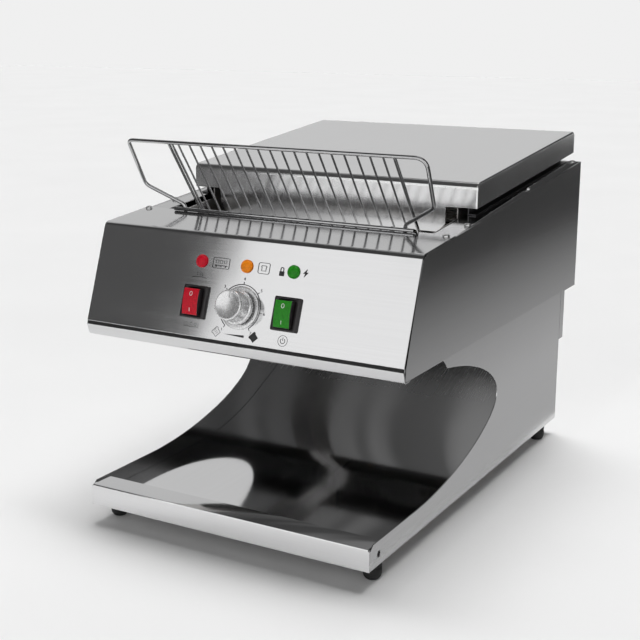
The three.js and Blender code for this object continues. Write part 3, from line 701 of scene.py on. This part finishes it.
def add_lamps():
    for name, x, material in (("red", -SWITCH_X, RED), ("amber", 0, AMBER),
                              ("green", SWITCH_X, GREEN)):
        bm = bmesh.new()
        profile = [(0, -14), (4.6, -14), (5, -13.5), (5, GAP), (6.6, GAP), (6.6, 1.0), (6.45, 1.3),
                   (6.1, 1.4), (5.7, 1.25), (5.5, 1.5)]
        dome = [(5.5 * math.cos(math.radians(angle)), 1.5 + 1.9 * math.sin(math.radians(angle)))
                for angle in range(10, 90, 10)]
        turned(bm, profile + dome + [(0, 3.4)], PANEL @ Matrix.Translation((x, LAMP_UP, 0)))
        place_piece(f"{name}_lamp_lens", bm, [material], "housing",
                    (f"{name}_lamp",), 50)


def add_dial():
    """The plate on the panel, and the knob: a black foot, a skirt and a tall cap with a rim."""
    plate = bmesh.new()
    turned(plate, [(4, GAP), (21.3, GAP), (21.5, 0.5), (21.3, 0.8), (20.9, 0.9), (18.6, 0.9),
                   (18.4, 0.7), (4, 0.7), (4, GAP)], PANEL, 72)
    place_piece("speed_dial_disc", plate, [KNOB_SILVER], "housing",
                ("speed_dial_plate",), 40)
    knob = bmesh.new()
    foot_top = 3.6
    profile = [(0, 1.4), (14.6, 1.4), (14.8, 1.8), (14.8, 3.4), (16.6, foot_top), (17.1, 4.0),
               (17.2, 4.6), (17.2, 5.6), (16.9, 6.6), (16.3, 7.2), (15.5, 7.5), (15.2, 8.0),
               (15.1, 20.6), (14.9, 21.7), (14.5, 22.3), (13.9, 22.6), (13.3, 22.6), (12.9, 22.4),
               (12.7, 22.3), (0, 22.3)]
    turned(knob, profile, PANEL, 96)
    for face in knob.faces:
        local = PANEL.inverted() @ face.calc_center_median()
        face.material_index = 1 if local.z < foot_top else 0
    place_piece("speed_knob_grip", knob, [KNOB_SILVER, BLACK], "knob",
                ("speed_knob",), 40)
    pointer = bmesh.new()
    tube(pointer, [(0, 7.2, 22.5), (0, 13.2, 22.75)], 0.55, 8, False, 0.5)
    pointer.transform(PANEL)
    place_piece("speed_knob_pointer", pointer, [WHITE_INK], "knob")


# ---- panel printing
def stroke(bm, points, width, closed=False):
    """A printed line on the panel, in panel coordinates."""
    tube(bm, [(x, y, 0.05) for x, y in points], width * 0.62, 6, closed, 0.25)


def fill(bm, points):
    """A printed patch on the panel, in panel coordinates."""
    lofted(bm, [(points, 0.01), (points, 0.1)], Matrix.Identity(4))


def numeral(bm, text, x, y, size):
    """A printed number centred on a point of the panel."""
    curve = bpy.data.curves.new("numeral", "FONT")
    curve.body = text
    curve.size = size
    curve.align_x = "CENTER"
    curve.align_y = "CENTER"
    curve.extrude = 0.04
    take_mesh(bm, linked("numeral", curve), Matrix.Translation((x, y, 0.06)))


# The outline of a slice of bread.
SLICE = [(-3.2, -3.4), (3.2, -3.4), (3.2, 0.9), (3.9, 1.6), (3.9, 2.7), (3.0, 3.4), (-3.0, 3.4),
         (-3.9, 2.7), (-3.9, 1.6), (-3.2, 0.9)]


def turned_slice(x, y, scale):
    """The bread slice outline standing on one corner."""
    half_root = math.sqrt(0.5)
    return moved([((px - py) * half_root, (px + py) * half_root) for px, py in SLICE], x, y, scale)


def add_dial_marks(bm):
    """An open ring with seven ticks, numbered from the lower left round to the lower right."""
    ring_radius, tick_radius, number_radius = 23.2, 25.8, 28.6
    steps = 7
    spacing = 48
    first = 90 + spacing * (steps - 1) / 2
    last = 90 - spacing * (steps - 1) / 2
    stroke(bm, arc((0, 0), ring_radius, last, first, 72), 0.75)
    for index in range(steps):
        angle = math.radians(first - spacing * index)
        x, y = math.cos(angle), math.sin(angle)
        stroke(bm, [(x * radius, y * radius) for radius in (ring_radius, tick_radius)], 0.6)
        numeral(bm, str(index + 1), x * number_radius, y * number_radius, 4.2)


def add_lamp_icons(bm):
    """Right of the lamps: slices on a belt, one slice, and a padlock and a bolt of lightning."""
    belt_x, slice_x, lock_x, bolt_x = -30.5, 19.5, 40.2, 66.5
    stroke(bm, moved(rounded_rectangle(9.6, 5.2, 1.2), belt_x, LAMP_UP), 0.45, True)
    for x in (-35.3, belt_x, -25.7):
        stroke(bm, moved(SLICE, x, LAMP_UP + 1.4, 0.42), 0.35, True)
    stroke(bm, [(-38, LAMP_UP - 2.3), (-23, LAMP_UP - 2.3)], 0.6)
    for x in (-36, belt_x, -25):
        stroke(bm, arc((x, LAMP_UP - 3.4), 0.6, 0, 330, 9), 0.3, True)
    stroke(bm, moved(rounded_rectangle(6.4, 5.3, 1.8), slice_x, LAMP_UP), 0.45, True)
    stroke(bm, moved(SLICE, slice_x, LAMP_UP, 0.75), 0.5, True)
    fill(bm, moved(rounded_rectangle(2.7, 2.3, 0.5, 2), lock_x, LAMP_UP - 3))
    stroke(bm, [(38.6, LAMP_UP - 1)] + arc((lock_x, LAMP_UP + 1.4), 1.6, 180, 0, 10)
           + [(41.8, LAMP_UP - 1)], 0.7)
    bolt = [(1.6, 4.6), (-3.2, -0.7), (-0.5, -0.5), (-1.7, -4.6), (3.2, 1.0), (0.5, 0.8)]
    fill(bm, moved(bolt, bolt_x, LAMP_UP, 0.9))


def add_switch_icons(bm):
    """Heat above the red switch and slices on a rack below it, a light and a dark slice with
    a wedge between them below the dial, and the power sign below the green switch."""
    above, below = 24.5, -23.2
    stroke(bm, [(-62, above - 0.6)] + arc((-SWITCH_X, above - 38), 38.9, 101, 79, 14)
           + [(-44.6, above - 0.6)], 0.4)
    for x in (-56.3, -SWITCH_X, -50.3):
        wave = [(x + 0.5 * math.sin(step * 0.9), above + 2.4 + step * 0.45) for step in range(8)]
        stroke(bm, wave, 0.35)
    stroke(bm, [(-62, below + 2), (-62, below - 1.6), (-45, below - 1.6), (-45, below + 2)], 0.4)
    for x in (-58.5, -53.5, -48.5):
        stroke(bm, moved(SLICE, x, below + 0.9, 0.36), 0.3, True)
    stroke(bm, turned_slice(-22.5, -26.2, 1.05), 0.5, True)
    for shift in (-1.4, 0, 1.4):
        stroke(bm, [(-24 + shift, -27 - shift), (-21.6 + shift, -24.6 - shift)], 0.35)
    fill(bm, [(-14, -27.2), (10, -28.4), (10, -26)])
    fill(bm, turned_slice(21, -26.4, 1.15))
    power = (54, -25.6)
    stroke(bm, arc(power, 5.2, 0, 340, 30), 0.4, True)
    stroke(bm, arc(power, 2.5, 130, 410, 20), 0.6)
    stroke(bm, [(54, -25.4), (54, -22.2)], 0.6)


def add_printing():
    """Generic pictograms, dial ticks and numbers, printed dark on the panel."""
    bm = bmesh.new()
    add_dial_marks(bm)
    add_lamp_icons(bm)
    add_switch_icons(bm)
    bm.transform(PANEL)
    place_piece("panel_printing", bm, [INK], "housing", (), 60)


# ---- housing
def add_hood():
    """A folded lid with rounded bends, short skirts and a tongue down into the feed slot."""
    half, front, rear = 174, 212, 511
    front_top, skirt = 338, 26
    tongue_half, tongue_z, chamfer = 139, 285, 9
    fold_radius, side_radius = 7, 2

    def top(y):
        return front_top + HOOD_SLOPE * (y - front)

    def on_side(face):
        return abs(face.normal.x) > 0.9

    def bend(edges, radius, segments):
        bmesh.ops.bevel(bm, geom=edges, offset=radius * MM, segments=segments, profile=0.5,
                        affect="EDGES")

    bm = bmesh.new()
    corners = {}
    for x in (-half, half):
        for y in (front, rear):
            for level, z in (("top", top(y)), ("low", top(y) - skirt)):
                corners[x, y, level] = bm.verts.new(at(x, y, z))
    tongue_top = top(front) - skirt
    tongue = [bm.verts.new(at(x, front, z)) for x, z in (
        (-tongue_half, tongue_top), (-tongue_half, tongue_z + chamfer),
        (-tongue_half + chamfer, tongue_z), (tongue_half - chamfer, tongue_z),
        (tongue_half, tongue_z + chamfer), (tongue_half, tongue_top))]
    bm.faces.new([corners[-half, front, "top"], corners[-half, front, "low"], *tongue,
                  corners[half, front, "low"], corners[half, front, "top"]])
    bm.faces.new([corners[x, rear, level] for x, level in (
        (half, "top"), (half, "low"), (-half, "low"), (-half, "top"))])
    for x in (-half, half):
        bm.faces.new([corners[x, y, level] for y, level in (
            (front, "top"), (front, "low"), (rear, "low"), (rear, "top"))])
    bm.faces.new([corners[x, y, "top"] for x, y in (
        (-half, front), (half, front), (half, rear), (-half, rear))])
    bmesh.ops.recalc_face_normals(bm, faces=bm.faces)
    bm.normal_update()
    bend([edge for edge in bm.edges if len(edge.link_faces) == 2
          and not any(on_side(face) for face in edge.link_faces)], fold_radius, 12)
    bm.normal_update()
    bend([edge for edge in bm.edges if len(edge.link_faces) == 2
          and sum(on_side(face) for face in edge.link_faces) == 1], side_radius, 4)
    piece = place_piece("hood_lid", bm, [HOOD_STEEL], "housing", ("hood",), 30)
    thick = piece.modifiers.new("sheet", "SOLIDIFY")
    thick.thickness = SHEET * MM
    thick.offset = -1
    soften(piece, 0.3, angle=50)
    flatten_large_faces(piece)


# ---- conveyor
# Axes of the wheels as (y, z).
DRIVE = (172, 236)
IDLER = (452, 260.5)
MOTOR = (98, 226)
CHAIN_X = 161.5


def loop_point(first, first_radius, second, second_radius, distance):
    """The (y, z) point at a distance along a belt over two wheels, and the belt's length."""
    run = Vector((second[0] - first[0], second[1] - first[1]))
    tilt = math.atan2(run.y, run.x)
    spread = math.acos((first_radius - second_radius) / run.length)
    straight = math.sqrt(run.length ** 2 - (first_radius - second_radius) ** 2)
    second_arc = second_radius * 2 * spread
    first_arc = first_radius * (2 * math.pi - 2 * spread)
    total = 2 * straight + first_arc + second_arc
    distance %= total

    def on(centre, radius, angle):
        return Vector((centre[0] + radius * math.cos(angle), centre[1] + radius * math.sin(angle)))

    if distance < straight:
        start = on(first, first_radius, tilt + spread)
        stop = on(second, second_radius, tilt + spread)
        return start.lerp(stop, distance / straight), total
    distance -= straight
    if distance < second_arc:
        return on(second, second_radius, tilt + spread - distance / second_radius), total
    distance -= second_arc
    if distance < straight:
        start = on(second, second_radius, tilt - spread)
        stop = on(first, first_radius, tilt - spread)
        return start.lerp(stop, distance / straight), total
    distance -= straight
    return on(first, first_radius, tilt - spread - distance / first_radius), total


def add_belt():
    """Flat-wire belt: each wire crosses in crimped steps and hooks into the next one."""
    radius, half = 14.85, 137
    wires, bays, crimp = 54, 12, 0.62
    pitch = loop_point(DRIVE, radius, IDLER, radius, 0)[1] / wires
    bm = bmesh.new()
    for index in range(wires):
        path = []
        for bay in range(bays):
            step = crimp if bay % 2 else 0
            for share in (0.06, 0.94):
                x = -half + 2 * half * (bay + share) / bays
                (y, z), _ = loop_point(DRIVE, radius, IDLER, radius, (index + step) * pitch)
                path.append(at(x, y, z))
        tube(bm, path, 0.8 * MM, 6)
    place_piece("conveyor_belt_wires", bm, [BELT_STEEL], "housing",
                ("conveyor_belt",), 60)


def add_chain():
    """Roller chain: pins with alternate inner and outer side plates."""
    pitch, clearance = 6.35, 2.6

    def loop_radius(teeth):
        return pitch / (2 * math.sin(math.pi / teeth)) + clearance

    loop = (MOTOR, loop_radius(12), DRIVE, loop_radius(18))
    total = loop_point(*loop, 0)[1]
    links = 2 * round(total / pitch / 2)
    bm = bmesh.new()
    for index in range(links):
        (y0, z0), _ = loop_point(*loop, index * total / links)
        (y1, z1), _ = loop_point(*loop, (index + 1) * total / links)
        spread = 2.1 if index % 2 else 1.5
        for sign in (-1, 1):
            x = CHAIN_X + sign * spread
            path = [at(x, y0 + (y1 - y0) * t, z0 + (z1 - z0) * t) for t in (-0.16, 0.1, 0.9, 1.16)]
            tube(bm, path, 0.9 * MM, 6)
        tube(bm, [at(CHAIN_X - 2.3, y0, z0), at(CHAIN_X + 2.3, y0, z0)], 1.0 * MM, 8)
    place_piece("drive_chain_links", bm, [DARK_STEEL], "housing",
                ("drive_chain",), 60)


def add_heaters():
    """Sheathed rods with a ceramic cap at each end."""
    cap = 9
    for row in ("upper", "lower"):
        for index in (1, 2, 3):
            name = f"{row}_heater_{index}"
            low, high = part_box(name)
            middle = (low + high) / 2
            length = (high.x - low.x) / MM / 2
            bm = bmesh.new()
            profile = [(0, -length), (5.4, -length), (6, -length + 0.6),
                       (6, -length + cap - 0.6), (5.4, -length + cap), (4, -length + cap)]
            mirrored = [(radius, -along) for radius, along in reversed(profile)]
            turned(bm, profile + mirrored, frame_at(middle, math.pi / 2), 24)
            for face in bm.faces:
                inside = abs(face.calc_center_median().x) < (length - cap) * MM
                face.material_index = 0 if inside else 1
            place_piece(f"{name}_rod", bm, [SHEATH, CERAMIC], "housing",
                        (name,), 40)


# ---- loading rack
def add_rack():
    """Welded round wire: a rim on two legs, a cross wire, and leaning bars in the slot."""
    rim = 2
    rim_y, rim_z = 91, 375
    leg_y = DECK_REAR + rim + 0.6
    bm = bmesh.new()
    corners = [(-130, leg_y, 280), (-131.5, leg_y, 304), (-170, 116, 325.5), (-172.3, rim_y, rim_z)]
    corners += [(-x, y, z) for x, y, z in reversed(corners)]
    bends = (5, 5, 7, 13, 5, 5)
    tube(bm, [at(*point) for point in rounded(corners, bends, 10)], rim * MM, 18)
    cross_y = leg_y - 3.4
    cross_z = deck_height(cross_y) + rim + GAP
    foot = (156, 284)
    tube(bm, [at(-142.5, cross_y, cross_z), at(142.5, cross_y, cross_z)], rim * MM, 16)
    tube(bm, [at(-121.5, *foot), at(141, *foot)], 1.5 * MM, 12)
    bars = [(-120, 1.5), (-115.8, 1.2), (139.5, 1.7)]
    bars += [(-108 + index * 13.85, 1.05) for index in range(18)]
    for x, radius in bars:
        tube(bm, [at(x, rim_y + 0.4, rim_z - 0.6), at(x, *foot)], radius * MM, 10)
    hook_y = 139
    for x in (-115, 0, 115):
        path = rounded([(x, cross_y, cross_z), (x, hook_y, cross_z), (x, *foot)], (2,), 4)
        tube(bm, [at(*point) for point in path], 1.2 * MM, 10)
    place_piece("loading_rack_wires", bm, [WIRE_STEEL], "rack", ("loading_rack",), 60)


# ---- small parts
def screw_head(name, x, y, z, replaces=()):
    """A pan head with a cross recess, its seat at (x, y, z) on the sloping top."""
    place = frame_at(at(x, y, z), math.atan(TOP_SLOPE), "X")
    head = bmesh.new()
    turned(head, [(0, 0), (3.5, 0), (3.6, 0.3), (3.5, 1.1), (3.1, 1.7), (2.3, 2.2), (1.2, 2.45),
                  (0, 2.5)], place, 32)
    arm, half = 2.0, 0.4
    corner = [(arm, half), (half, half), (half, arm)]
    recess = []
    for turn_x, turn_y in ((1, 1), (-1, 1), (-1, -1), (1, -1)):
        quarter = [(turn_x * a, turn_y * b) for a, b in corner]
        recess += quarter if turn_x * turn_y > 0 else quarter[::-1]
    tool = bmesh.new()
    lofted(tool, [(recess, 1.2), (recess, 4)], place)
    place_piece(name, drill(head, tool), [SCREW_STEEL], "housing", replaces, 40)


def add_screws():
    """Two screws hold the deck. The others are in the side flanges, a sheet's thickness lower."""
    seat = 0.1
    for side, sign in SIDES:
        screw_head(f"front_screw_{side}_head", sign * 177, 129, deck_height(129) + seat,
                   (f"front_screw_{side}",))
        screw_head(f"rear_screw_{side}_head", sign * 176, 500, deck_height(500) - SHEET + seat,
                   (f"rear_screw_{side}",))
        for count, y in ((1, 178), (2, 345)):
            screw_head(f"flange_screw_{side}_{count}", sign * 178, y,
                       deck_height(y) - SHEET + seat)


def add_slot_bolts():
    """Round black bolt heads that hold the tongue's ends beside the slot."""
    for side, sign in SIDES:
        bm = bmesh.new()
        place = frame_at(at(sign * 149.4, 193, 291), -sign * math.pi / 2)
        turned(bm, [(0, 0), (4.6, 0), (5, 0.4), (5, 2.6), (4.5, 3.6), (3.4, 4.1), (0, 4.2)],
               place, 32)
        place_piece(f"slot_bolt_{side}", bm, [BLACK], "housing", (), 40)


def add_plain_parts():
    """Every other node keeps its CAD shape, with rounded edges and its own finish."""
    plain = [
        # material, slot, edge radius, nodes
        (LIP_STEEL, "polished_steel", 0.3, ["tray_front_lip"]),
        (SIDE_STEEL, "polished_steel", 0.3, ["housing_side_left", "housing_side_right"]),
        (SIDE_STEEL, "brushed_steel", 0.3, ["base_rear_panel", "housing_rear_panel"]),
        (SIDE_STEEL, "brushed_steel", 0.4, ["rear_cover"]),
        (INNER_STEEL, "inner_steel", 0.3, [
            "base_floor_plate", "housing_floor", "chamber_wall_left", "chamber_wall_right",
            "front_bulkhead", "motor_output_shaft"]),
        (INNER_STEEL, "inner_steel", 0.4, ["drive_shaft", "idler_shaft"]),
        (INNER_STEEL, "polished_steel", 0.3, ["upper_reflector", "lower_reflector"]),
        (DARK_STEEL, "dark_steel", 0.3, ["hood_bracket_left", "hood_bracket_right"]),
        (DARK_STEEL, "dark_steel", 0.2, ["drive_sprocket", "motor_sprocket"]),
        (BRONZE, "bearing_bronze", 0.2, [
            "drive_bearing_left", "drive_bearing_right", "idler_bearing_left",
            "idler_bearing_right"]),
        (MOTOR_PAINT, "motor_paint", 1.5, ["gearbox", "motor"]),
        (BLACK, "black_plastic", 0.3, ["speed_controller"]),
        (BLACK, "black_plastic", 0.8, ["terminal_block"]),
        (BLACK, "black_plastic", 0.4, ["cable_gland"]),
    ]
    for material, slot, width, names in plain:
        for node in names:
            refined(node, material, width)


add_base_sides()
add_slide()
add_feet()
add_control_panel()
add_panel_painted_shade()
add_switch("red", -SWITCH_X, RED)
add_switch("green", SWITCH_X, GREEN)
add_lamps()
add_dial()
add_hood()
add_belt()
add_chain()
add_heaters()
add_rack()
add_screws()
add_slot_bolts()
add_printing()
add_plain_parts()


# ---- studio
def stage_sheet(name, corners, material):
    """A flat four-cornered sheet that isn't part of the toaster."""
    mesh = bpy.data.meshes.new(name)
    mesh.from_pydata(corners, [], [(0, 1, 2, 3)])
    mesh.materials.append(material)
    sheet = linked(name, mesh)
    return sheet


def add_floor():
    def paint(tree):
        shade = tree.span(tree.noise((3, 3, 3)), 0, 1)
        return tree.add("BsdfPrincipled", Base_Color=tree.tint(shade, (0.84,) * 3, (0.86,) * 3),
                        Roughness=0.9)

    half = 9
    stage_sheet("floor", [(-half, -half, 0), (half, -half, 0), (half, half, 0), (-half, half, 0)],
                make_material("studio_floor", paint))


def add_card(name, corners, level_of):
    """A grey card seen only in reflections. level_of gives its brightness from its coordinates."""
    def paint(tree):
        place = tree.add("SeparateXYZ", Vector=tree.add("TexCoord").outputs["Object"]).outputs
        return tree.add("Emission", Color=(1, 1, 1, 1), Strength=level_of(tree, place))

    card = stage_sheet(name, corners, make_material(name, paint))
    card.visible_camera = False
    card.visible_diffuse = False
    card.visible_shadow = False


def add_cards():
    """Cards that the steel reflects. One lies on the floor to the right, darker further out, and
    one stands at the front left. One under the housing, with dark bands, is for the toast slide,
    and one in the slot is for the hood's tongue."""
    def level_card(name, x0, x1, y0, y1, z, level_of):
        corners = [(x, y, z) for x, y in ((x0, y0), (x1, y0), (x1, y1), (x0, y1))]
        add_card(name, corners, level_of)

    def slide_level(tree, place):
        bands = tree.span(tree.noise((19, 1.2, 1), 1.0), 0.08, 0.18, 0.42, 0.56)
        return tree.math("MULTIPLY", bands, tree.span(place["X"], 0.5, 1.15, -0.134, 0.1))

    low = 0.001
    level_card("side_card", 0.19, 4, -0.5, 4.4, low,
               lambda tree, place: tree.span(place["X"], 0.5, 0.05, 0.30, 0.76))
    near, far, top = (-0.965, -1.48), (-2.6, 0.1), 1.5
    add_card("front_card", [(*near, low), (*far, low), (*far, top), (*near, top)],
             lambda tree, place: tree.span(place["X"], 0.11, 0.085, -1.9, -0.98))
    first, last = at(-134, 60, HOUSING_BOTTOM - 2), at(155, 438, HOUSING_BOTTOM - 2)
    level_card("under_card", first.x, last.x, first.y, last.y, first.z, slide_level)
    first, last = at(-139, 134, 284), at(139, 209, 284)
    level_card("slot_card", first.x, last.x, first.y, last.y, first.z,
               lambda tree, place: tree.span(place["X"], 0.2, 0.75, -0.1, 0.06))


def add_world():
    """Soft boxes as bright windows of the sky. Angles are degrees: azimuth 0 is in front of the
    toaster and grows to its right, elevation is above the floor. The overhead light behind the
    toaster is much weaker in reflections, so that steel seen from above keeps its greys."""
    ambient, overhead_light, overhead_mirrored, backdrop_level = 0.055, 13.5, 1.0, 0.87
    soft_boxes = [
        # azimuth from, to, elevation from, to, softness, strength
        (-60, 75, -6, 29, 3, 1.04),
        (-12, 60, 35, 60, 6, 0.45),
        (-175, -95, 2, 50, 8, 0.55),
    ]
    world = bpy.data.worlds.new("studio")
    world.use_nodes = True
    bpy.context.scene.world = world
    tree = Nodes(world.node_tree)
    along = tree.add("SeparateXYZ", Vector=tree.add("TexCoord").outputs["Generated"]).outputs
    front = tree.math("MULTIPLY", along["Y"], -1.0)
    azimuth = tree.math("DEGREES", tree.math("ARCTAN2", along["X"], front))
    elevation = tree.math("DEGREES", tree.math("ARCSINE", along["Z"]))

    def window(angle, low, high, softness):
        rise = tree.add("MapRange", {"interpolation_type": "SMOOTHSTEP"}, Value=angle,
                        From_Min=low - softness, From_Max=low + softness).outputs["Result"]
        fall = tree.add("MapRange", {"interpolation_type": "SMOOTHSTEP"}, Value=angle,
                        From_Min=high - softness, From_Max=high + softness,
                        To_Min=1.0, To_Max=0.0).outputs["Result"]
        return tree.math("MULTIPLY", rise, fall)

    behind = tree.span(along["Y"], 0, 1, 0.07, 0.22)
    overhead = tree.math("MULTIPLY", window(elevation, 64, 120, 8), behind)
    mirrored = tree.add("LightPath").outputs["Is Glossy Ray"]
    overhead = tree.math("MULTIPLY", overhead,
                         tree.span(mirrored, overhead_light, overhead_mirrored, 0, 1))
    total = tree.math("ADD", overhead, ambient)
    for from_azimuth, to_azimuth, from_height, to_height, softness, strength in soft_boxes:
        patch = tree.math("MULTIPLY", window(azimuth, from_azimuth, to_azimuth, softness),
                          window(elevation, from_height, to_height, softness))
        total = tree.math("ADD", total, tree.math("MULTIPLY", patch, strength))
    seen = tree.add("LightPath").outputs["Is Camera Ray"]
    backdrop = tree.math("MULTIPLY", seen, backdrop_level)
    lit = tree.math("MULTIPLY", total, tree.math("SUBTRACT", 1.0, seen))
    background = tree.add("Background", Color=(1, 1, 1, 1),
                          Strength=tree.math("ADD", lit, backdrop))
    tree.add("OutputWorld", Surface=background.outputs[0])
    bpy.context.scene.view_settings.view_transform = "Standard"


add_floor()
add_cards()
add_world()
